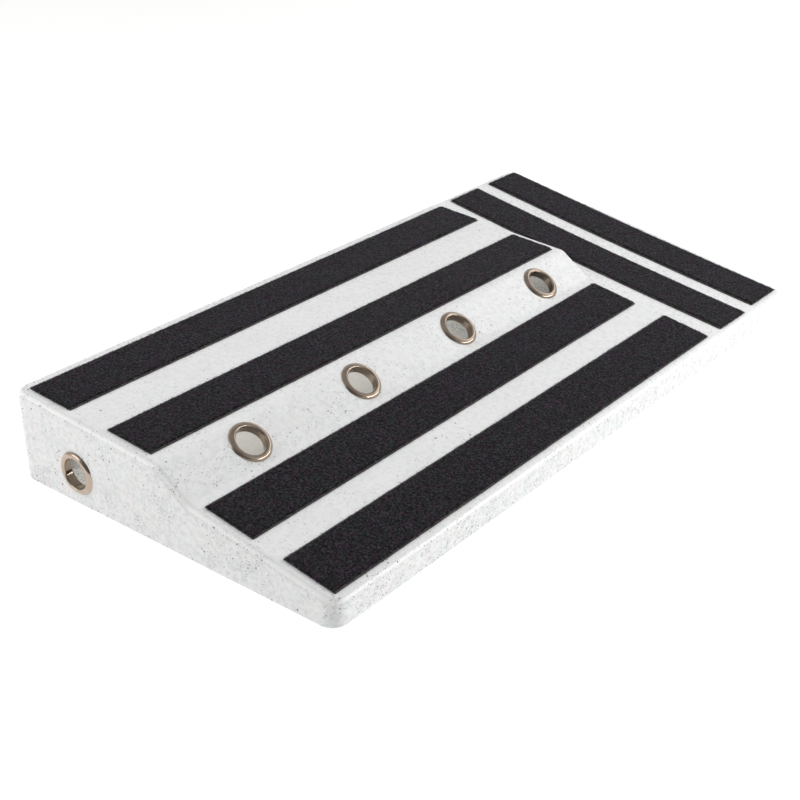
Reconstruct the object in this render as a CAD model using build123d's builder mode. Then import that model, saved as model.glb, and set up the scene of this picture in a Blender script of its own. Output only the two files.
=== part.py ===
from build123d import *
import math
import os

# Two-tier wedge pedalboard.  +X runs to the right along the front edge, +Y runs to the
# back, +Z is up.  The origin is the middle of the overall footprint, on the surface that
# the rubber feet stand on.  "From the left" and "from the front" below are measured from
# the outside faces of the shell, and heights from the shell's lower edge.

# --- driving dimensions, in millimetres ----------------------------------------------
board_length = 711.0          # 28 in
board_depth = 352.0
foot_stand = 4.0              # the feet lift the shell clear of the floor by this
front_height = 23.8
rear_height = 83.1            # both decks meet at this height along the rear edge
wall = 4.5

riser_foot = 148.0            # from the front: where the riser leaves the lower deck
riser_top = 180.5             # from the front: where the riser meets the raised deck
riser_top_height = 71.4
riser_foot_radius = 9.0
riser_top_radius = 12.0
raised_length = 562.5         # from the left: end of the raised deck
low_overlap = 70.0            # how far the low body reaches in under the raised one

corner_radius = 14.0          # the four upright corners
rim_radius = 6.0              # outside top edges, apart from the raised deck's right end
tier_end_radius = 3.0         # top edge of the raised deck's right end
skirt_radius = 1.2            # the outside bottom edge

# bottom panel
panel_recess = 2.0
panel_thickness = 4.0
panel_gap = 0.5

# stiffening ribs under the decks
rib_thickness = 3.0
rib_depth = 8.0
rib_places = (154.0, 292.0, 428.0, 600.0)      # from the left

# screw bosses
boss_radius = 6.5
boss_hole_radius = 1.85
boss_hole_depth = 11.0
web_thickness = 3.0
row_inset = 32.0              # front and rear rows, from the front and rear faces
foot_columns = (34.0, 355.5, 677.0)            # from the left
panel_screw_columns = (177.0, 534.0)           # from the left
middle_row = 196.0            # from the front: panel screws behind the riser
middle_row_columns = (34.0, 292.0, 428.0, 677.0)

# screws
shank_radius = 1.75
clearance_radius = 2.1
drive_length = 3.2            # cross recess in every screw head
drive_width = 0.9
drive_depth = 1.2
panel_screw_length = 12.0
panel_screw_head_radius = 3.9
countersink_radius = 4.1
foot_screw_length = 15.0
foot_screw_head_radius = 3.6
foot_screw_head_height = 2.0
foot_screw_head_round = 0.8

# rubber feet, each with a steel washer in its pocket
foot_radius = 11.0
foot_tip_radius = 10.0
foot_edge_radius = 0.8
foot_web = 2.0                # rubber left between the washer and the panel
foot_pocket_radius = 5.6
foot_washer_radius = 5.2
foot_washer_thickness = 0.8

# metal cable eyelets, each rolled over a washer behind the wall
bore_radius = 13.3
sheet = 0.7
flange_radius = 19.1
crown_radius = 15.0           # where the domed flange is highest
crown_height = 2.6
lip_radius = 16.2             # the lip rolled over behind the washer
lip_bend = 1.2
eyelet_hole_radius = 14.3
seat_radius = 19.4            # flat seat under the flange
inner_seat_radius = 18.0      # flat seat under the washer
washer_radius = 17.5
washer_hole_radius = 14.35
washer_thickness = 1.0
riser_eyelet_places = (87.1, 223.1, 361.6, 496.6)      # from the left
end_eyelet_place = 277.2      # from the front
end_eyelet_height = 29.4

# loop tape: 2 in wide, cut to length and laid by hand
tape_width = 50.8
tape_thickness = 2.3
tape_corner_radius = 0.6
cross_tape_rear = 341.8       # from the front: rear end of both cross strips

# --- worked out from the above -------------------------------------------------------
left = -(board_length - crown_height) / 2      # the end eyelet counts in the overall length
front = -board_depth / 2
base = foot_stand
deck_slope = (rear_height - front_height) / board_depth
deck_angle = math.atan(deck_slope)
raised_slope = (rear_height - riser_top_height) / (board_depth - riser_top)
raised_angle = math.atan(raised_slope)
riser_foot_height = front_height + deck_slope * riser_foot
riser_angle = math.atan((riser_top_height - riser_foot_height) / (riser_top - riser_foot))
panel_bottom = base + panel_recess
panel_top = panel_bottom + panel_thickness
tall = 2 * rear_height        # longer than anything that it cuts


def leaning_plane(x, from_front, height, angle):
    """A plane whose z leans from upright towards the front by an angle in radians."""
    return Plane(
        origin=(x, front + from_front, base + height),
        x_dir=(1, 0, 0),
        z_dir=(0, -math.sin(angle), math.cos(angle)),
    )


lower_deck = leaning_plane(0, 0, front_height, deck_angle)
raised_deck = leaning_plane(0, riser_top, riser_top_height, raised_angle)
riser_middle = (riser_foot + riser_top) / 2
riser_middle_height = (riser_foot_height + riser_top_height) / 2

eyelet_places = {
    f"riser_{number}": leaning_plane(left + x, riser_middle, riser_middle_height, riser_angle)
    for number, x in enumerate(riser_eyelet_places, start=1)
}
eyelet_places["end"] = Plane(
    origin=(left, front + end_eyelet_place, base + end_eyelet_height),
    x_dir=(0, -1, 0),
    z_dir=(-1, 0, 0),
)

outer_rows = (row_inset, board_depth - row_inset)
foot_spots = [(left + x, front + y) for x in foot_columns for y in outer_rows]
outer_screw_spots = [(left + x, front + y) for x in panel_screw_columns for y in outer_rows]
middle_screw_spots = [(left + x, front + middle_row) for x in middle_row_columns]
panel_screw_spots = outer_screw_spots + middle_screw_spots
boss_spots = foot_spots + panel_screw_spots


def save(piece, name):
    """Label a finished piece and write it as parts/NAME.step."""
    piece.label = name
    export_step(piece, f"parts/{name}.step")


# --- the board's form ----------------------------------------------------------------
def side_profile(raised, inset, floor):
    """Outline in the Y-Z plane, moved inwards by inset, down to the level floor."""
    points = [
        (front, floor),
        (front + board_depth, floor),
        (front + board_depth, base + rear_height),
    ]
    riser_corners = [
        (front + riser_top, base + riser_top_height),
        (front + riser_foot, base + riser_foot_height),
    ]
    if raised:
        points += riser_corners
    points.append((front, base + front_height))
    with BuildSketch() as profile:
        with BuildLine():
            Polyline(*points, close=True)
        make_face()
        if inset:
            offset(amount=-inset, kind=Kind.INTERSECTION, mode=Mode.REPLACE)
        if raised:
            top_corner = profile.vertices().sort_by_distance(riser_corners[0])[0]
            fillet(top_corner, radius=riser_top_radius - inset)
            foot_corner = profile.vertices().sort_by_distance(riser_corners[1])[0]
            fillet(foot_corner, radius=riser_foot_radius + inset)
    return profile.sketch


def rim_edges(part, end_face):
    """Edges between the decks and the upright outside faces, apart from the end face."""
    decks = part.faces().filter_by(lambda face: face.normal_at().Z > 0.3)
    sides = part.faces().filter_by(lambda face: abs(face.normal_at().Z) < 0.1)
    side_edges = sides.edges()
    end_edges = end_face.edges()
    return ShapeList(e for e in decks.edges() if e in side_edges and e not in end_edges)


def board_form(inset, floor):
    """The solid two-tier wedge, moved inwards by inset, down to the level floor."""
    with BuildPart() as raised_body:
        with BuildSketch(Plane.YZ.offset(left + inset)):
            add(side_profile(True, inset, floor))
        extrude(amount=raised_length - 2 * inset)
        uprights = raised_body.edges().filter_by(Axis.Z).group_by(Axis.X)[0]
        fillet(uprights, radius=corner_radius - inset)
        tier_end = raised_body.faces().sort_by(Axis.X)[-1]
        fillet(rim_edges(raised_body.part, tier_end), radius=rim_radius - inset)
        if tier_end_radius > inset:
            tier_end = raised_body.faces().sort_by(Axis.X)[-1]
            fillet(tier_end.edges().sort_by(Axis.Z)[1:], radius=tier_end_radius - inset)
    with BuildPart() as low_body:
        with BuildSketch(Plane.YZ.offset(left + raised_length - low_overlap)):
            add(side_profile(False, inset, floor))
        extrude(amount=board_length - raised_length + low_overlap - inset)
        uprights = low_body.edges().filter_by(Axis.Z).group_by(Axis.X)[-1]
        fillet(uprights, radius=corner_radius - inset)
        joining_face = low_body.faces().sort_by(Axis.X)[0]
        fillet(rim_edges(low_body.part, joining_face), radius=rim_radius - inset)
    with BuildPart() as form:
        add(raised_body.part)
        add(low_body.part)
    return form.part


outer_form = board_form(0.0, base)
cavity_form = board_form(wall, base - 2 * wall)

# --- shell: one hollow moulding with ribs and screw bosses under its decks ------------
with BuildPart() as ribs:
    with BuildSketch(Plane.XY.offset(panel_top)):
        with Locations([(left + x, 0) for x in rib_places]):
            Rectangle(rib_thickness, board_depth)
    extrude(amount=tall)
    add(cavity_form.moved(Location((0, 0, -rib_depth))), mode=Mode.SUBTRACT)

with BuildPart() as bosses:
    with BuildSketch(Plane.XY.offset(panel_top)):
        with Locations(*boss_spots):
            Circle(boss_radius)
        for x, y in foot_spots + outer_screw_spots:      # webs out to the nearest wall
            outward = math.copysign(1, y)
            with Locations((x, y + outward * row_inset / 2)):
                Rectangle(web_thickness, row_inset)
    extrude(amount=tall)

with BuildPart() as shell:
    add(outer_form)
    fillet(shell.faces().sort_by(Axis.Z)[0].edges(), radius=skirt_radius)
    hollow = cavity_form - ribs.part - bosses.part
    add(hollow, mode=Mode.SUBTRACT)
    with BuildSketch(Plane.XY.offset(panel_top)):
        with Locations(*boss_spots):
            Circle(boss_hole_radius)
    extrude(amount=boss_hole_depth, mode=Mode.SUBTRACT)
    for place in eyelet_places.values():
        with BuildSketch(place.offset(-2 * wall)):
            Circle(eyelet_hole_radius)
        extrude(amount=4 * wall, mode=Mode.SUBTRACT)
        with BuildSketch(place):
            Circle(seat_radius)
        extrude(amount=wall, mode=Mode.SUBTRACT)
        with BuildSketch(place.offset(-wall)):
            Circle(inner_seat_radius)
        extrude(amount=-wall, mode=Mode.SUBTRACT)

# --- bottom panel ----------------------------------------------------------------------
panel_margin = wall + panel_gap
with BuildPart() as bottom_panel:
    with BuildSketch(Plane.XY.offset(panel_bottom)):
        with Locations((left + board_length / 2, 0)):
            RectangleRounded(
                board_length - 2 * panel_margin,
                board_depth - 2 * panel_margin,
                corner_radius - panel_margin,
            )
    extrude(amount=panel_thickness)
    chamfer(bottom_panel.faces().sort_by(Axis.Z)[0].edges(), length=panel_gap)
    with BuildSketch(Plane.XY.offset(panel_bottom)):
        with Locations(*boss_spots):
            Circle(clearance_radius)
    extrude(amount=panel_thickness, mode=Mode.SUBTRACT)
    with BuildSketch(Plane.XY.offset(panel_bottom)):
        with Locations(*panel_screw_spots):
            Circle(countersink_radius)
    extrude(amount=countersink_radius - clearance_radius, taper=45, mode=Mode.SUBTRACT)


# --- screws ----------------------------------------------------------------------------
with BuildSketch() as cross_recess:
    Rectangle(drive_length, drive_width)
    Rectangle(drive_width, drive_length)

with BuildPart() as panel_screws:
    with BuildSketch(Plane.XY.offset(panel_bottom)):
        with Locations(*panel_screw_spots):
            Circle(panel_screw_head_radius)
    extrude(amount=panel_screw_head_radius - shank_radius, taper=45)
    with BuildSketch(Plane.XY.offset(panel_bottom)):
        with Locations(*panel_screw_spots):
            Circle(shank_radius)
    extrude(amount=panel_screw_length)
    with BuildSketch(Plane.XY.offset(panel_bottom)):
        with Locations(*panel_screw_spots):
            add(cross_recess.sketch)
    extrude(amount=drive_depth, mode=Mode.SUBTRACT)

washer_height = panel_bottom - foot_web - foot_washer_thickness
with BuildPart() as foot_screws:
    with BuildSketch(Plane.XY.offset(washer_height)):
        with Locations(*foot_spots):
            Circle(foot_screw_head_radius)
    extrude(amount=-foot_screw_head_height)
    fillet(foot_screws.edges().group_by(Axis.Z)[0], radius=foot_screw_head_round)
    with BuildSketch(Plane.XY.offset(washer_height)):
        with Locations(*foot_spots):
            Circle(shank_radius)
    extrude(amount=foot_screw_length)
    with BuildSketch(Plane.XY.offset(washer_height - foot_screw_head_height)):
        with Locations(*foot_spots):
            add(cross_recess.sketch)
    extrude(amount=drive_depth, mode=Mode.SUBTRACT)

with BuildPart() as foot_washers:
    with BuildSketch(Plane.XY.offset(washer_height)):
        with Locations(*foot_spots):
            Circle(foot_washer_radius)
        with Locations(*foot_spots):
            Circle(clearance_radius, mode=Mode.SUBTRACT)
    extrude(amount=foot_washer_thickness)


# --- rubber feet -----------------------------------------------------------------------
def rubber_foot(x, y):
    """A round foot, wider at the panel, with a pocket for its washer and screw head."""
    with BuildPart() as foot:
        with BuildSketch(Plane.XZ.offset(-y)):
            with BuildLine():
                Polyline(
                    (x + foot_pocket_radius, 0),
                    (x + foot_tip_radius, 0),
                    (x + foot_radius, panel_bottom),
                    (x + clearance_radius, panel_bottom),
                    (x + clearance_radius, panel_bottom - foot_web),
                    (x + foot_pocket_radius, panel_bottom - foot_web),
                    close=True,
                )
            make_face()
        revolve(axis=Axis((x, y, 0), (0, 0, 1)))
        tip_edge = foot.edges().group_by(Axis.Z)[0].sort_by(SortBy.LENGTH)[-1]
        fillet(tip_edge, radius=foot_edge_radius)
    return foot.part


# --- cable eyelets and their washers -----------------------------------------------------
def section_plane(place):
    """The plane through an eyelet's axis: x is the radius, y is out along the axis."""
    return Plane(origin=place.origin, x_dir=place.x_dir, z_dir=-place.y_dir)


def eyelet(place):
    """Sheet-metal eyelet: domed flange outside, straight barrel, lip rolled over inside."""
    outer_barrel = bore_radius + sheet
    barrel_top = crown_height - (crown_radius - bore_radius)
    crown = (crown_radius, crown_height)
    inner_crown = (crown_radius, crown_height - sheet)
    lip_top = -wall - washer_thickness
    with BuildPart() as ring:
        with BuildSketch(section_plane(place)):
            with BuildLine():
                TangentArc(crown, (flange_radius, 0), tangent=(1, 0))
                TangentArc(crown, (bore_radius, barrel_top), tangent=(-1, 0))
                Line((bore_radius, barrel_top), (bore_radius, lip_top + lip_bend - sheet))
                TangentArc(
                    (bore_radius, lip_top + lip_bend - sheet),
                    (bore_radius + lip_bend, lip_top - sheet),
                    tangent=(0, -1),
                )
                Line((bore_radius + lip_bend, lip_top - sheet), (lip_radius, lip_top - sheet))
                Line((lip_radius, lip_top - sheet), (lip_radius, lip_top))
                Line((lip_radius, lip_top), (outer_barrel, lip_top))
                Line((outer_barrel, lip_top), (outer_barrel, barrel_top))
                TangentArc(inner_crown, (outer_barrel, barrel_top), tangent=(-1, 0))
                TangentArc(inner_crown, (flange_radius - sheet, 0), tangent=(1, 0))
                Line((flange_radius - sheet, 0), (flange_radius, 0))
            make_face()
        revolve(axis=Axis(place.origin, place.z_dir))
    return ring.part


def eyelet_washer(place):
    """Flat ring behind the wall, under the eyelet's rolled lip."""
    with BuildPart() as ring:
        with BuildSketch(place.offset(-wall)):
            Circle(washer_radius)
            Circle(washer_hole_radius, mode=Mode.SUBTRACT)
        extrude(amount=-washer_thickness)
    return ring.part


# --- loop tape strips --------------------------------------------------------------------
def on_deck(plane, x, from_front):
    """Place on a deck's plane, from distances from the left and from the front."""
    along_slope = (front + from_front - plane.origin.Y) / plane.y_dir.Y
    return (left + x, along_slope)


def long_strip(plane, x_start, x_end, near_start, near_end):
    """Strip along the board; near_start and near_end place the ends of its near edge."""
    start = on_deck(plane, x_start, near_start)
    end = on_deck(plane, x_end, near_end)
    turn = math.degrees(math.atan2(end[1] - start[1], end[0] - start[0]))
    with BuildPart() as strip:
        with BuildSketch(plane):
            with Locations(((start[0] + end[0]) / 2, (start[1] + end[1] + tape_width) / 2)):
                Rectangle(x_end - x_start, tape_width, rotation=turn)
        extrude(amount=tape_thickness)
        uprights = strip.edges().filter_by(Axis(plane.origin, plane.z_dir))
        fillet(uprights, radius=tape_corner_radius)
    return strip.part


def cross_strip(x_front, x_middle, x_rear, near_end):
    """Strip from front to back on the lower deck, its left edge bowed through x_middle."""
    middle = (near_end + cross_tape_rear) / 2
    front_left = on_deck(lower_deck, x_front, near_end)
    middle_left = on_deck(lower_deck, x_middle, middle)
    rear_left = on_deck(lower_deck, x_rear, cross_tape_rear)
    front_right = on_deck(lower_deck, x_front + tape_width, near_end)
    middle_right = on_deck(lower_deck, x_middle + tape_width, middle)
    rear_right = on_deck(lower_deck, x_rear + tape_width, cross_tape_rear)
    with BuildPart() as strip:
        with BuildSketch(lower_deck):
            with BuildLine():
                ThreePointArc(front_left, middle_left, rear_left)
                Line(rear_left, rear_right)
                ThreePointArc(rear_right, middle_right, front_right)
                Line(front_right, front_left)
            make_face()
        extrude(amount=tape_thickness)
        uprights = strip.edges().filter_by(Axis(lower_deck.origin, lower_deck.z_dir))
        fillet(uprights, radius=tape_corner_radius)
    return strip.part


strips = {
    "upper_rear": long_strip(raised_deck, 9.8, 559.0, 289.0, 287.8),
    "upper_front": long_strip(raised_deck, 10.0, 553.5, 194.3, 188.8),
    "lower_rear": long_strip(lower_deck, 9.5, 554.0, 87.4, 88.6),
    "lower_front": long_strip(lower_deck, 9.9, 556.7, 7.8, 7.5),
    "cross_inner": cross_strip(582.0, 576.6, 583.0, 6.7),
    "cross_outer": cross_strip(651.2, 649.6, 653.4, 9.2),
}

# --- write every piece -------------------------------------------------------------------
os.makedirs("parts", exist_ok=True)
save(shell.part, "shell")
save(bottom_panel.part, "bottom_panel")
save(panel_screws.part, "panel_screws")
save(foot_screws.part, "foot_screws")
save(foot_washers.part, "foot_washers")
foot_names = [f"{row}_{side}" for side in ("left", "middle", "right") for row in ("front", "rear")]
for name, (x, y) in zip(foot_names, foot_spots):
    save(rubber_foot(x, y), f"foot_{name}")
for name, place in eyelet_places.items():
    save(eyelet(place), f"eyelet_{name}")
    save(eyelet_washer(place), f"eyelet_washer_{name}")
for name, strip in strips.items():
    save(strip, f"loop_strip_{name}")
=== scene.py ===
import math

import bpy
import numpy as np
from mathutils import Matrix, Vector


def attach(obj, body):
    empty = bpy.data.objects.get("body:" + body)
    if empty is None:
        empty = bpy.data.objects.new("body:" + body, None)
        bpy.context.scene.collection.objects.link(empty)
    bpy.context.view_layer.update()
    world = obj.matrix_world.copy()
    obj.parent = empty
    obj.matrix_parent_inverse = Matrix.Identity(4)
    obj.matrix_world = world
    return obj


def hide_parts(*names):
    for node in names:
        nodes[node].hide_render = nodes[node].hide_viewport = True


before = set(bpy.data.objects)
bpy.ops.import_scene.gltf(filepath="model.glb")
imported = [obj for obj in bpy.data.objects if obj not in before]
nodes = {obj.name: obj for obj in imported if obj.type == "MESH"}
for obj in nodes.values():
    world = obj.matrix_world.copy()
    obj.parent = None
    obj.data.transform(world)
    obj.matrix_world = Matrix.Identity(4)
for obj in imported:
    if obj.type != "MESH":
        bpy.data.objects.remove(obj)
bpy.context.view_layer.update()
collection = bpy.context.scene.collection

MM = 0.001


# --- node helpers ---------------------------------------------------------------------
class Nodes:
    """Builds one material's nodes in object coordinates, which are the row frame."""

    def __init__(self, name):
        self.material = bpy.data.materials.new(name)
        self.material.use_nodes = True
        self.tree = self.material.node_tree
        self.tree.nodes.clear()
        self.output = self.tree.nodes.new("ShaderNodeOutputMaterial")
        self.shader = self.tree.nodes.new("ShaderNodeBsdfPrincipled")
        self.link(self.shader.outputs["BSDF"], self.output.inputs["Surface"])
        self.place = self.tree.nodes.new("ShaderNodeTexCoord").outputs["Object"]

    def link(self, source, target):
        self.tree.links.new(source, target)

    def set(self, **values):
        """Constant values on the shader's own sockets; underscores stand for spaces."""
        for name, value in values.items():
            self.shader.inputs[name.replace("_", " ")].default_value = value

    def put(self, name, source):
        """Drives a socket of the shader with a node's output."""
        self.link(source, self.shader.inputs[name])

    def moved(self, x, y, z):
        """The place shifted, so that two layers of noise don't coincide."""
        node = self.tree.nodes.new("ShaderNodeMapping")
        node.inputs["Location"].default_value = (x, y, z)
        self.link(self.place, node.inputs["Vector"])
        return node.outputs["Vector"]

    def jittered(self, vector, size, amount):
        """The vector pushed about by noise with blobs of the given size."""
        node = self.tree.nodes.new("ShaderNodeTexNoise")
        node.inputs["Scale"].default_value = 1.0 / size
        node.inputs["Detail"].default_value = 1.0
        self.link(vector, node.inputs["Vector"])
        push = self.tree.nodes.new("ShaderNodeVectorMath")
        push.operation = "MULTIPLY_ADD"
        self.link(node.outputs["Color"], push.inputs[0])
        push.inputs[1].default_value = (amount, amount, amount)
        self.link(vector, push.inputs[2])
        return push.outputs["Vector"]

    def noise(self, size, detail=2.0, rough=0.5, vector=None, distortion=0.0):
        """Noise from 0 to 1 whose blotches are about size metres across."""
        node = self.tree.nodes.new("ShaderNodeTexNoise")
        node.inputs["Scale"].default_value = 1.0 / size
        node.inputs["Detail"].default_value = detail
        node.inputs["Roughness"].default_value = rough
        node.inputs["Distortion"].default_value = distortion
        self.link(vector or self.place, node.inputs["Vector"])
        return node.outputs["Fac"]

    def cells(self, size, vector=None, output="Distance"):
        """Scattered cells about size metres across: distance to their points, or colour."""
        node = self.tree.nodes.new("ShaderNodeTexVoronoi")
        node.inputs["Scale"].default_value = 1.0 / size
        self.link(vector or self.place, node.inputs["Vector"])
        return node.outputs[output]

    def ramp(self, source, *stops):
        """Colour ramp; each stop is (position, colour or grey)."""
        node = self.tree.nodes.new("ShaderNodeValToRGB")
        elements = node.color_ramp.elements
        while len(elements) < len(stops):
            elements.new(0.5)
        for element, (position, colour) in zip(elements, stops):
            element.position = position
            if not isinstance(colour, tuple):
                colour = (colour, colour, colour)
            element.color = (*colour, 1.0)
        self.link(source, node.inputs["Fac"])
        return node.outputs["Color"]

    def math(self, operation, a, b=0.0, c=0.0):
        """One sum; each value is a number or a node's output."""
        node = self.tree.nodes.new("ShaderNodeMath")
        node.operation = operation
        for socket, value in zip(node.inputs, (a, b, c)):
            if isinstance(value, (int, float)):
                socket.default_value = value
            else:
                self.link(value, socket)
        return node.outputs["Value"]

    def mix(self, amount, a, b, blend="MIX"):
        """Colour b over colour a by amount."""
        node = self.tree.nodes.new("ShaderNodeMix")
        node.data_type = "RGBA"
        node.blend_type = blend
        factor, first, second = node.inputs[0], node.inputs[6], node.inputs[7]
        for socket, value in ((factor, amount), (first, a), (second, b)):
            if isinstance(value, (int, float)):
                socket.default_value = value
            elif isinstance(value, tuple):
                socket.default_value = (*value, 1.0)
            else:
                self.link(value, socket)
        return node.outputs[2]

    def bump(self, height, depth, strength):
        """A normal that dents the surface by up to depth metres."""
        node = self.tree.nodes.new("ShaderNodeBump")
        node.inputs["Strength"].default_value = strength
        node.inputs["Distance"].default_value = depth
        self.link(height, node.inputs["Height"])
        return node.outputs["Normal"]

    def split(self, vector):
        """A vector's X, Y and Z outputs."""
        node = self.tree.nodes.new("ShaderNodeSeparateXYZ")
        self.link(vector, node.inputs["Vector"])
        return node.outputs


# --- materials ------------------------------------------------------------------------
def tinted(base, red, green, blue):
    return (base[0] * red, base[1] * green, base[2] * blue)


# Three layers of flecks, fine to coarse: cell size, largest radius in cells, share of the
# cells that hold one, strength of the tint, its colour, and the layer's shift.
FLECK_LAYERS = (
    (0.90 * MM, 0.50, 0.55, 0.50, (0.30, 0.31, 0.33), (0.7, 0.2, 0.9)),
    (1.70 * MM, 0.42, 0.36, 0.72, (0.14, 0.14, 0.16), (1.9, 2.3, 0.1)),
    (3.80 * MM, 0.25, 0.22, 0.90, (0.07, 0.07, 0.08), (0.3, 1.1, 2.7)),
)
FLECK_RAGGED = 0.5            # how far a fleck's outline is pushed about, in cells
FLECK_SMALLEST = 0.4          # smallest radius as a share of the largest
PANEL_PLAIN_X = -0.105        # middle of the panel's plain stretch


def flecks(m, size, reach, share, shift):
    """Irregular flecks: share of the cells hold one, and reach is its largest radius in cells."""
    vector = m.jittered(m.moved(*shift), size * 0.45, size * FLECK_RAGGED)
    draws = m.tree.nodes.new("ShaderNodeSeparateColor")
    m.link(m.cells(size, vector, output="Color"), draws.inputs["Color"])
    chosen = m.math("LESS_THAN", draws.outputs[0], share)
    grown = reach * (1 - FLECK_SMALLEST)
    radius = m.math("MULTIPLY_ADD", draws.outputs[1], grown, reach * FLECK_SMALLEST)
    inside = m.math("LESS_THAN", m.cells(size, vector), radius)
    return m.math("MULTIPLY", chosen, inside)


def facing(m):
    """The surface's own direction as separate X, Y and Z outputs."""
    return m.split(m.tree.nodes.new("ShaderNodeNewGeometry").outputs["Normal"])


def granite_plastic(name, base, marbling, density, rim, rough):
    """Near-white moulded plastic: soft marbling, fine mottle, patches of dark flecks, and a
    painted highlight along the rims when a rim mask is given.
    """
    m = Nodes(name)
    marbled = marbling(m)
    cloud = m.noise(30 * MM, detail=4, rough=0.6, distortion=0.4)
    hue = m.noise(11 * MM, detail=4, rough=0.6, vector=m.moved(3.1, 1.7, 0.4), distortion=0.8)
    mottle = m.noise(5 * MM, detail=6, rough=0.72, distortion=0.5)
    patches = m.noise(28 * MM, detail=4, rough=0.6, vector=m.moved(0.37, 2.9, 1.3), distortion=0.5)
    dull, clean = tinted(base, 0.965, 0.965, 0.97), tinted(base, 1.02, 1.02, 1.02)
    colour = m.ramp(cloud, (0.3, dull), (0.7, clean))
    for source, stops, shade in (
        (hue, ((0.50, 0.0), (0.66, 0.9)), tinted(base, 1.0, 0.95, 0.95)),         # pinkish
        (hue, ((0.34, 0.9), (0.48, 0.0)), tinted(base, 0.925, 0.985, 0.965)),     # greenish
        (mottle, ((0.34, 1.0), (0.52, 0.0)), tinted(base, 0.85, 0.865, 0.87)),
        (mottle, ((0.52, 0.0), (0.70, 1.0)), tinted(base, 1.09, 1.085, 1.08)),
    ):
        colour = m.mix(m.math("MULTIPLY", m.ramp(source, *stops), marbled), colour, shade)
    # Painted highlight along the rounded rims, where the rim mask is given.
    if rim is not None:
        colour = m.mix(rim(m), colour, tinted(base, 1.18, 1.175, 1.17))
    dense = m.math("MULTIPLY", m.ramp(patches, (0.42, 0.12), (0.62, 1.3)), density(m))
    for size, reach, share, strength, shade, shift in FLECK_LAYERS:
        found = flecks(m, size, reach, m.math("MULTIPLY", dense, share), shift)
        colour = m.mix(m.math("MULTIPLY", found, strength), colour, shade)
    m.put("Base Color", colour)
    m.put("Roughness", m.ramp(mottle, (0.3, rough * 0.85), (0.7, rough * 1.15)))
    m.put("Normal", m.bump(m.noise(1.3 * MM, detail=3, rough=0.6), 0.035 * MM, 0.6))
    m.set(IOR=1.46)
    return m.material


def denser_on_walls(m):
    """More flecks show on the upright faces than on the worn decks, and more at the left."""
    by_face = m.ramp(facing(m)["Z"], (0.2, 1.0), (0.82, 0.55), (0.97, 0.26))
    by_place = m.ramp(m.math("ADD", m.split(m.place)["X"], 0.5), (0.25, 1.0), (0.60, 0.40))
    return m.math("MULTIPLY", by_face, by_place)


def marbled_on_walls(m):
    """The marbling is stronger on the upright faces too."""
    return m.ramp(facing(m)["Z"], (0.2, 1.0), (0.82, 0.55), (0.97, 0.30))


def painted_rim_highlight(m):
    """Painted highlight: the rounded top edges along the ends and the front, made paler where they
    face sideways or forward and partly up, standing in for the light they catch.
    """
    face = facing(m)
    sideways = m.math("ABSOLUTE", face["X"])
    forward = m.math("MULTIPLY", face["Y"], -1.0)
    ends = m.ramp(sideways, (0.40, 0.0), (0.58, 1.0), (0.80, 1.0), (0.93, 0.0))
    front = m.ramp(forward, (0.64, 0.0), (0.74, 1.0), (0.88, 1.0), (0.98, 0.0))
    either = m.math("MAXIMUM", ends, front)
    return m.math("MULTIPLY", either, m.ramp(face["Z"], (0.10, 0.0), (0.30, 1.0)))


def marbled_evenly(m):
    """Half the marbling all over, a little more or less from place to place."""
    return m.ramp(m.noise(60 * MM), (0.3, 0.4), (0.7, 0.6))


def denser_at_ends(m):
    """More flecks show towards the panel's two ends than in its plain middle."""
    away = m.math("ABSOLUTE", m.math("ADD", m.split(m.place)["X"], -PANEL_PLAIN_X))
    return m.math("MULTIPLY", m.ramp(away, (0.12, 0.02), (0.18, 1.0)), 2.6)


def pile(name, base, size, depth):
    """Black nylon loops: matt, tinted in patches, with a soft sheen, painted sheen in paler
    patches where the pile lies unevenly, and painted light on the loop tops with painted shade in
    the gaps between them.
    """
    m = Nodes(name)
    lie = m.noise(16 * MM, detail=3, rough=0.6, distortion=0.6)
    hue = m.noise(7 * MM, detail=3, rough=0.6, vector=m.moved(1.3, 0.2, 2.2), distortion=0.5)
    grain = m.noise(size, detail=4, rough=0.75)
    lie_sheen, lit = tinted(base, 1.35, 1.25, 1.2), tinted(base, 5.6, 5.4, 5.4)
    gap_shade = (0.0008, 0.0007, 0.0008)
    purple, green = (1.18, 0.88, 1.21), (0.80, 1.16, 1.02)
    # Painted sheen: paler patches where the pile lies unevenly.
    colour = m.mix(m.ramp(lie, (0.45, 0.0), (0.75, 0.5)), base, lie_sheen)
    # Painted light and shade in the grain: lit loop tops, and painted shade in the gaps between
    # the loops.
    colour = m.mix(m.ramp(grain, (0.40, 1.0), (0.50, 0.0)), colour, gap_shade)
    colour = m.mix(m.ramp(grain, (0.50, 0.0), (0.62, 1.0)), colour, lit)
    colour = m.mix(m.ramp(hue, (0.50, 0.0), (0.60, 1.0)), colour, purple, "MULTIPLY")
    colour = m.mix(m.ramp(hue, (0.40, 1.0), (0.50, 0.0)), colour, green, "MULTIPLY")
    m.put("Base Color", colour)
    m.set(Roughness=0.95, Specular_IOR_Level=0.2)
    m.set(Sheen_Weight=0.13, Sheen_Roughness=0.45, Sheen_Tint=(0.72, 0.68, 0.76, 1.0))
    m.put("Normal", m.bump(grain, depth, 0.8))
    return m.material


def webbing(name, base):
    """The tape's woven backing, seen along its edges: fine cells, pale and dusty."""
    m = Nodes(name)
    weave = m.cells(0.55 * MM)
    dust = m.noise(5 * MM, detail=4, rough=0.65)
    thread, hole = tinted(base, 1.35, 1.35, 1.35), tinted(base, 0.45, 0.45, 0.45)
    colour = m.ramp(weave, (0.1, thread), (0.6, hole))
    colour = m.mix(m.ramp(dust, (0.42, 0.0), (0.7, 0.6)), colour, tinted(base, 1.9, 1.75, 1.6))
    m.put("Base Color", colour)
    m.set(Roughness=0.9, Specular_IOR_Level=0.25)
    m.put("Normal", m.bump(weave, 0.12 * MM, 0.8))
    return m.material


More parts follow.
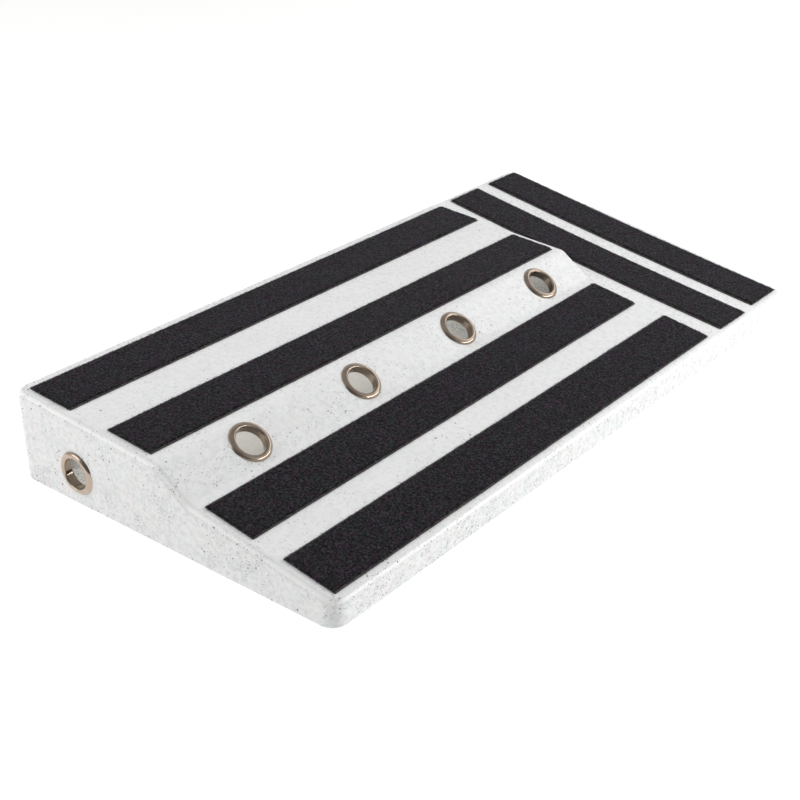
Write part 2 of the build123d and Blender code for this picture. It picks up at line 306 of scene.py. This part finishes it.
def plated(name, base, rough):
    """Plated steel: uneven polish, faint scratches and darker tarnish."""
    m = Nodes(name)
    cloud = m.noise(6 * MM, detail=4, rough=0.6)
    fine = m.noise(0.5 * MM, detail=3, rough=0.7)
    polish = m.noise(2.5 * MM, detail=4)
    colour = m.ramp(cloud, (0.3, tinted(base, 0.84, 0.82, 0.80)), (0.7, base))
    tarnish = tinted(base, 0.6, 0.56, 0.52)
    colour = m.mix(m.ramp(fine, (0.55, 0.0), (0.8, 0.25)), colour, tarnish)
    m.put("Base Color", colour)
    m.put("Roughness", m.ramp(polish, (0.3, rough * 0.75), (0.7, rough * 1.35)))
    m.set(Metallic=1.0)
    m.put("Normal", m.bump(fine, 0.02 * MM, 0.5))
    return m.material


def rubber(name, base):
    """Matt moulded rubber, paler in patches."""
    m = Nodes(name)
    grain = m.noise(0.8 * MM, detail=4, rough=0.7)
    colour = m.ramp(m.noise(9 * MM, detail=3), (0.3, base), (0.7, tinted(base, 1.6, 1.6, 1.6)))
    m.put("Base Color", colour)
    m.put("Roughness", m.ramp(grain, (0.3, 0.72), (0.7, 0.9)))
    m.put("Normal", m.bump(grain, 0.05 * MM, 0.6))
    return m.material


shell_plastic = granite_plastic(
    "shell_plastic", (0.81, 0.815, 0.81), marbled_on_walls, denser_on_walls, painted_rim_highlight, 0.28
)
panel_plastic = granite_plastic(
    "panel_plastic", (0.79, 0.785, 0.765), marbled_evenly, denser_at_ends, None, 0.45
)
loop_pile = pile("loop_pile", (0.0086, 0.0075, 0.0090), 1.9 * MM, 0.22 * MM)
loop_thread = pile("loop_thread", (0.040, 0.036, 0.039), 3.0 * MM, 0.02 * MM)
loop_webbing = webbing("loop_webbing", (0.086, 0.080, 0.080))
eyelet_nickel = plated("eyelet_nickel", (0.54, 0.445, 0.365), 0.16)
screw_steel = plated("screw_steel", (0.62, 0.62, 0.61), 0.32)
foot_rubber = rubber("foot_rubber", (0.022, 0.022, 0.023))


def finish_of(name):
    """The material of a CAD node, from its name."""
    if name == "shell":
        return shell_plastic
    if name == "bottom_panel":
        return panel_plastic
    if name.startswith("loop_strip"):
        return loop_pile
    if name.startswith("eyelet_washer") or name.endswith(("_screws", "_washers")):
        return screw_steel
    if name.startswith("eyelet"):
        return eyelet_nickel
    return foot_rubber


for name, node in nodes.items():
    node.data.materials.clear()
    node.data.materials.append(finish_of(name))


# --- loop tape ------------------------------------------------------------------------
TAPE_WIDTH = 50.8 * MM
CORNER_ROUND = 0.8 * MM       # clear of a strip's rounded corners

BACKING = 1.0 * MM            # thickness of the woven backing with its adhesive
BACKING_STEP = 3 * MM
BACKING_ACROSS = (-1.0, -0.992, -0.97, -0.5, 0.0, 0.5, 0.97, 0.992, 1.0)   # of half the width
BACKING_BORDER = 0.7          # height of its two outermost threads as a share of the rest
BACKING_WAVER = 0.12 * MM     # how far the woven edge wanders

SELVEDGE = 1.5 * MM           # bare woven edge beside the loops
PILE_CELL = 0.8 * MM
PILE_SINK = 0.1 * MM          # the pile reaches this far into the backing
CUT_BACK = 0.15 * MM          # the pile stops this far short of the cut ends
CUT_RAGGED = 0.3              # how uneven its cut ends are, in mm
SIDE_RAGGED = 0.2             # how uneven its sides are, in mm
SIDE_WANDER = 0.25            # how far they wander more slowly, in mm
SIDE_WANDER_CELLS = 3.0
EDGE_ROLL = 1.3 * MM          # the pile's edge rolls down over this width
NAP_LOWER = 0.1 * MM          # the nap's middle height lies this far below the CAD strip's top
NAP_ROUGH = 0.36              # height of single tufts, in mm
NAP_WAVES = ((2.2, 0.12), (9.0, 0.14), (40.0, 0.10))     # width in cells, height in mm
NAP_SHIFT = 0.3               # how far tufts stand from their places, in cells

FIBRE = 0.10 * MM             # half thickness of a stray loop's thread
LOOP_STEPS = 5                # points along a stray loop
LOOP_CORNERS = 3              # corners of its cross-section
LOOP_SWAY = 0.35              # how far its arch leans along it, as a share of its span
LOOSE_SPACING = 3.2 * MM      # one stray loop over each square of this size
FRINGE_SPACING = 0.75 * MM    # and one to each of these along a side
CUT_SPACING = 0.5 * MM        # and one to each of these along a cut end
LOOSE_DEPTH = 0.25 * MM       # a loose loop's ends lie this far below the CAD strip's top
LOOSE_FROM_CUT = 1 * MM       # it starts no nearer than this to a cut end
LOOSE_FROM_SIDE = 2 * MM      # nor than this to a side
LOOP_LIFT = (0.25, 0.9)       # height of the arches, in mm, least and most
LOOSE_SPAN = (0.9, 2.4)       # length of a loose loop, in mm
EDGE_SPAN = (0.7, 2.3)        # and of one at an edge
SIDE_INSET = (0.9, 2.0)       # where a loop at a side starts, in mm from the side
CUT_INSET = (0.2, 0.9)        # where a loop at a cut end starts, in mm from the cut
EDGE_START = (0.9, 2.0)       # height at which a loop at an edge starts, in mm
EDGE_FINISH = (0.1, 1.4)      # and ends
EDGE_LEAN = 1.1               # how far it turns from straight outward, in radians


class Strip:
    """A CAD strip's own axes, u along it, v across and w up, and its sideways bow."""

    def __init__(self, node):
        mesh = node.data
        points = np.empty(len(mesh.vertices) * 3)
        mesh.vertices.foreach_get("co", points)
        points = points.reshape(-1, 3)
        largest = max((p for p in mesh.polygons if p.normal.z > 0.5), key=lambda p: p.area)
        self.up = np.array(largest.normal)
        height = points @ self.up
        self.thick = float(height.max() - height.min())
        low = points[height < height.min() + self.thick / 2]
        flat = low - low.mean(axis=0)
        spread = np.linalg.svd(flat, full_matrices=False)[2]
        self.along = spread[0] * (1 if spread[0].sum() > 0 else -1)
        self.across = np.cross(self.up, self.along)
        u, v = flat @ self.along, flat @ self.across
        middle_u, self.length = (u.max() + u.min()) / 2, float(u.max() - u.min())
        self.origin = low.mean(axis=0) + middle_u * self.along
        u = u - middle_u
        sides = np.abs(u) < self.length / 2 - CORNER_ROUND
        centre = v[sides] - np.sign(v[sides] - np.median(v)) * TAPE_WIDTH / 2
        terms = np.stack([np.ones(sides.sum()), (2 * u[sides] / self.length) ** 2], axis=1)
        self.bow = np.linalg.lstsq(terms, centre, rcond=None)[0]

    def points(self, u, v, w):
        """Row-frame points of strip coordinates."""
        v = v + self.bow[0] + self.bow[1] * (2 * u / self.length) ** 2
        return (
            self.origin
            + u[..., None] * self.along
            + v[..., None] * self.across
            + w[..., None] * self.up
        )


def field(rng, shape, cell):
    """Smooth random values from -1 to 1 over a grid, with blobs about cell steps wide."""
    rows, cols = shape
    coarse = rng.uniform(-1, 1, (int(rows / cell) + 3, int(cols / cell) + 3))
    r, c = np.arange(rows) / cell, np.arange(cols) / cell
    i, j = r.astype(int), c.astype(int)
    a, b = r - i, c - j
    a, b = (a * a * (3 - 2 * a))[:, None], (b * b * (3 - 2 * b))[None, :]
    near = coarse[i][:, j] * (1 - b) + coarse[i][:, j + 1] * b
    far = coarse[i + 1][:, j] * (1 - b) + coarse[i + 1][:, j + 1] * b
    return near * (1 - a) + far * a


def new_piece(name, points, faces, material):
    """A smooth-shaded piece of tape that rides on the board."""
    mesh = bpy.data.meshes.new(name)
    mesh.from_pydata(points, [], faces)
    mesh.polygons.foreach_set("use_smooth", [True] * len(mesh.polygons))
    mesh.materials.append(material)
    piece = bpy.data.objects.new(name, mesh)
    collection.objects.link(piece)
    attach(piece, "root")
    return piece


def closed_mat(strip, u, v, top, floor):
    """Points and faces of a closed mat: a grid of tops over a flat floor of its outline."""
    rows, cols = u.shape
    upper = strip.points(u, v, top).reshape(-1, 3)
    lower = strip.points(u, v, np.full_like(top, floor)).reshape(-1, 3)
    at = np.arange(rows * cols).reshape(rows, cols)
    quads = np.stack([at[:-1, :-1], at[1:, :-1], at[1:, 1:], at[:-1, 1:]], -1).reshape(-1, 4)
    rim = np.concatenate([at[:, 0], at[-1, 1:], at[-2::-1, -1], at[0, -2:0:-1]])
    below = rows * cols + np.arange(len(rim))
    sides = np.stack([rim, below, np.roll(below, -1), np.roll(rim, -1)], -1)
    faces = quads.tolist() + sides.tolist() + [below[::-1].tolist()]
    return np.concatenate([upper, lower[rim]]).tolist(), faces


def backing_of(strip, name, rng):
    """The woven tape itself, with a slightly wavering edge."""
    steps = int(strip.length / BACKING_STEP)
    across = np.array(BACKING_ACROSS) * TAPE_WIDTH / 2
    along = np.linspace(-strip.length / 2, strip.length / 2, steps)
    u, v = np.meshgrid(along, across, indexing="ij")
    waver = field(rng, u.shape, 4.0) * BACKING_WAVER
    top = np.full_like(u, BACKING)
    top[:, [0, -1]] *= BACKING_BORDER
    points, faces = closed_mat(strip, u, v + waver, top, 0.0)
    return new_piece(f"tape_backing_{name}", points, faces, loop_webbing)


def pile_of(strip, name, rng):
    """The nap of loops: a rough mat whose edges roll down to the backing."""
    half_length, half_width = strip.length / 2 - CUT_BACK, TAPE_WIDTH / 2 - SELVEDGE
    rows, cols = int(2 * half_length / PILE_CELL), int(2 * half_width / PILE_CELL)
    u, v = np.meshgrid(np.linspace(-1, 1, rows), np.linspace(-1, 1, cols), indexing="ij")
    wander = field(rng, (rows, 2), SIDE_WANDER_CELLS) * SIDE_WANDER
    width = half_width + (wander + rng.uniform(-1, 1, (rows, 2)) * SIDE_RAGGED) * MM
    length = half_length + rng.uniform(-1, 1, (2, cols)) * CUT_RAGGED * MM
    u = u * np.where(u < 0, length[0], length[1])
    v = v * np.where(v < 0, width[:, :1], width[:, 1:])
    nap = rng.uniform(-1, 1, u.shape) * NAP_ROUGH
    for cell, height in NAP_WAVES:
        nap = nap + field(rng, u.shape, cell) * height
    from_edge = np.minimum(half_length - np.abs(u), half_width - np.abs(v))
    rise = np.clip(from_edge / EDGE_ROLL, 0, 1)
    rise = np.sqrt(np.clip(1 - (1 - rise) ** 2, 0, 1))
    full = strip.thick - BACKING
    top = BACKING + rise * (full - NAP_LOWER + nap * MM)
    risen = rise > 0.3                               # all but the rim, which stays in place
    shift = rng.uniform(-NAP_SHIFT, NAP_SHIFT, (2, *u.shape)) * PILE_CELL * risen
    points, faces = closed_mat(strip, u + shift[0], v + shift[1], top, BACKING - PILE_SINK)
    return new_piece(f"tape_pile_{name}", points, faces, loop_pile)


def loop_lines(strip, rng):
    """Centre lines of a strip's stray loops, in its own axes, and the way across each.

    Both are indexed by loop, step and (u, v, w).
    """
    half_length, half_width = strip.length / 2, TAPE_WIDTH / 2
    over = int(4 * half_length * half_width / LOOSE_SPACING ** 2)
    beside = int(4 * half_length / FRINGE_SPACING)
    count = over + beside + int(4 * half_width / CUT_SPACING)
    is_side = (np.arange(count) >= over) & (np.arange(count) < over + beside)
    is_end = np.arange(count) >= over + beside

    turn = rng.uniform(0, 2 * math.pi, count)
    span = rng.uniform(*LOOSE_SPAN, count) * MM
    lift = rng.uniform(*LOOP_LIFT, count) * MM
    u = rng.uniform(-1, 1, count) * (half_length - LOOSE_FROM_CUT)
    v = rng.uniform(-1, 1, count) * (half_width - LOOSE_FROM_SIDE)
    side = np.where(rng.uniform(-1, 1, count) < 0, -1.0, 1.0)
    v = np.where(is_side, side * (half_width - rng.uniform(*SIDE_INSET, count) * MM), v)
    u = np.where(is_end, side * (half_length - rng.uniform(*CUT_INSET, count) * MM), u)

    # Those along the edges lean outward and hang lower.
    lean = rng.uniform(-EDGE_LEAN, EDGE_LEAN, count)
    turn = np.where(is_side, side * math.pi / 2 + lean, turn)
    turn = np.where(is_end, np.where(side > 0, 0.0, math.pi) + lean, turn)
    edge = is_side | is_end
    in_nap = strip.thick - LOOSE_DEPTH
    start = np.where(edge, rng.uniform(*EDGE_START, count) * MM, in_nap)
    finish = np.where(edge, rng.uniform(*EDGE_FINISH, count) * MM, in_nap)
    span = np.where(edge, rng.uniform(*EDGE_SPAN, count) * MM, span)

    steps = np.linspace(0, 1, LOOP_STEPS)
    arch = np.sin(math.pi * steps)
    out = span[:, None] * (steps - LOOP_SWAY * arch * rng.uniform(-1, 1, (count, 1)))
    w = start[:, None] * (1 - steps) + finish[:, None] * steps + lift[:, None] * arch
    cos, sin = np.cos(turn)[:, None], np.sin(turn)[:, None]
    lines = np.stack([u[:, None] + out * cos, v[:, None] + out * sin, w], -1)
    return lines, np.stack([-sin, cos, np.zeros_like(sin)], -1) * np.ones_like(lines)


def tubes(lines, level, radius):
    """Corner points and faces of a closed tube round each line; level is the way across it."""
    heading = np.gradient(lines, axis=1)
    heading /= np.linalg.norm(heading, axis=2, keepdims=True) + 1e-12
    other = np.cross(heading, level)
    ring = []
    for corner in range(LOOP_CORNERS):
        angle = 2 * math.pi * corner / LOOP_CORNERS
        ring.append(lines + radius * (math.cos(angle) * level + math.sin(angle) * other))
    corners = np.stack(ring, 2)                      # loop, step, corner, (u, v, w)
    at = np.arange(corners[..., 0].size).reshape(corners.shape[:3])
    turned = np.roll(at, -1, axis=2)
    quads = np.stack([at[:, :-1], turned[:, :-1], turned[:, 1:], at[:, 1:]], -1).reshape(-1, 4)
    caps = np.concatenate([at[:, 0, ::-1], at[:, -1]])
    return corners, quads.tolist() + caps.tolist()


def threads_of(strip, name, rng):
    """Stray loops: arches over the nap, and a fringe of them leaning out past the edges."""
    corners, faces = tubes(*loop_lines(strip, rng), FIBRE)
    points = strip.points(corners[..., 0], corners[..., 1], corners[..., 2]).reshape(-1, 3)
    return new_piece(f"tape_threads_{name}", points.tolist(), faces, loop_thread)


for number, node_name in enumerate(sorted(n for n in nodes if n.startswith("loop_strip_"))):
    strip = Strip(nodes[node_name])
    rng = np.random.RandomState(100 + number)
    name = node_name.removeprefix("loop_strip_")
    backing = backing_of(strip, name, rng)
    nap = pile_of(strip, name, rng)
    threads = threads_of(strip, name, rng)
    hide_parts(node_name)


# --- floor, light, camera ---------------------------------------------------------------
FLOOR_REACH = 12.0            # the floor goes this far each way
FLOOR_GLOW = 0.78


def white_floor():
    """A blank paper floor that shines enough to lose the board's shadow."""
    mesh = bpy.data.meshes.new("floor")
    corners = [(-1, -1), (1, -1), (1, 1), (-1, 1)]
    points = [(x * FLOOR_REACH, y * FLOOR_REACH, 0) for x, y in corners]
    mesh.from_pydata(points, [], [(0, 1, 2, 3)])
    floor = bpy.data.objects.new("floor", mesh)
    collection.objects.link(floor)
    m = Nodes("floor_paper")
    shade = m.noise(0.4, detail=2)
    m.put("Base Color", m.ramp(shade, (0.3, 0.34), (0.7, 0.36)))
    m.set(Roughness=0.9, Specular_IOR_Level=0.1)
    m.set(Emission_Color=(1.0, 1.0, 0.992, 1.0), Emission_Strength=FLOOR_GLOW)
    mesh.materials.append(m.material)


def studio_room():
    """Grey surroundings: each axis has a ramp of brightness, and the two are multiplied."""
    world = bpy.data.worlds.new("studio")
    bpy.context.scene.world = world
    world.use_nodes = True
    new, link = world.node_tree.nodes.new, world.node_tree.links.new
    direction = new("ShaderNodeTexCoord").outputs["Generated"]
    both = new("ShaderNodeVectorMath")
    both.operation = "MULTIPLY"
    for socket, axis, stops in (
        (0, (0.0, 0.0, 1.0), ((0.52, 0.62), (0.78, 0.34))),       # pale walls, darker ceiling
        (1, (-0.80, -0.60, 0.0), ((0.35, 1.0), (0.80, 0.22))),    # dark doorway at left front
    ):
        along = new("ShaderNodeVectorMath")
        along.operation = "DOT_PRODUCT"
        along.inputs[1].default_value = axis
        link(direction, along.inputs[0])
        share = new("ShaderNodeValToRGB")
        for element, (position, grey) in zip(share.color_ramp.elements, stops):
            element.position = position
            element.color = (grey, grey, grey, 1.0)
        link(along.outputs["Value"], share.inputs["Fac"])
        link(share.outputs["Color"], both.inputs[socket])
    link(both.outputs["Vector"], world.node_tree.nodes["Background"].inputs["Color"])


def softbox(name, place, target, width, height, radiance):
    """Rectangular light whose face shines with the given radiance."""
    light = bpy.data.lights.new(name, "AREA")
    light.shape = "RECTANGLE"
    light.size = width
    light.size_y = height
    light.energy = radiance * math.pi * width * height
    lamp = bpy.data.objects.new(name, light)
    lamp.location = place
    lamp.rotation_mode = "QUATERNION"
    lamp.rotation_quaternion = (Vector(target) - Vector(place)).to_track_quat("-Z", "Y")
    collection.objects.link(lamp)
    return lamp


LIT_POINT = (-0.05, 0.0, 0.05)
# Name, place, width, height, radiance, and whether polished surfaces mirror it.
STUDIO_LIGHTS = (
    ("left_rear", (-1.13, 1.0, 1.13), 1.0, 0.8, 3.9, False),
    ("right_front", (1.40, -1.20, 0.90), 1.6, 1.0, 4.3, False),
    ("above", (-0.05, 0.30, 1.45), 1.2, 1.0, 0.92, False),
    ("front_glint", (0.80, -1.35, 0.42), 1.5, 0.20, 5.4, True),
    ("right_card", (1.405, -0.36, 1.01), 1.1, 0.62, 1.0, True),
    ("left_glint", (-1.27, 0.75, 0.50), 0.7, 0.50, 1.7, True),
)
# The pale plastic lets some light through into the hollow, which these stand in for:
# name, x, y, z, length and depth of lamps that face the bottom panel.
INSIDE_LIGHTS = (
    ("inside_left", -0.11, 0.082, 0.0575, 0.48, 0.09),
    ("inside_right", 0.255, 0.07, 0.054, 0.08, 0.08),
    ("inside_end", -0.315, 0.14, 0.060, 0.06, 0.06),
)
INSIDE_RADIANCE = 0.80
INSIDE_TINT = (1.0, 0.97, 0.92)

CAMERA_PLACE = (-0.96225, -0.73254, 0.62498)
CAMERA_RIGHT = (0.63049, -0.77619, -0.00401)
CAMERA_UP = (0.36402, 0.29112, 0.88472)
CAMERA_TOWARD = (0.68554, 0.55927, -0.46610)
CAMERA_LENS = 64.466


def place_camera():
    """The camera at the photo's angle and distance."""
    data = bpy.data.cameras.new("camera")
    data.sensor_width = 36.0
    data.lens = CAMERA_LENS
    data.clip_start = 0.01
    data.clip_end = 50.0
    camera = bpy.data.objects.new("camera", data)
    collection.objects.link(camera)
    axes = (Vector(CAMERA_RIGHT), Vector(CAMERA_UP), -Vector(CAMERA_TOWARD))
    turn = Matrix(axes).transposed().to_4x4()
    camera.matrix_world = Matrix.Translation(Vector(CAMERA_PLACE)) @ turn
    bpy.context.scene.camera = camera


white_floor()
studio_room()
for name, place, width, height, radiance, mirrored in STUDIO_LIGHTS:
    softbox(name, place, LIT_POINT, width, height, radiance).visible_glossy = mirrored
for name, x, y, z, width, depth in INSIDE_LIGHTS:
    lamp = softbox(name, (x, y, z), (x, y, 0.0), width, depth, INSIDE_RADIANCE)
    lamp.data.color = INSIDE_TINT
    lamp.visible_camera = False
    lamp.visible_glossy = False
place_camera()
bpy.context.scene.view_settings.view_transform = "Standard"
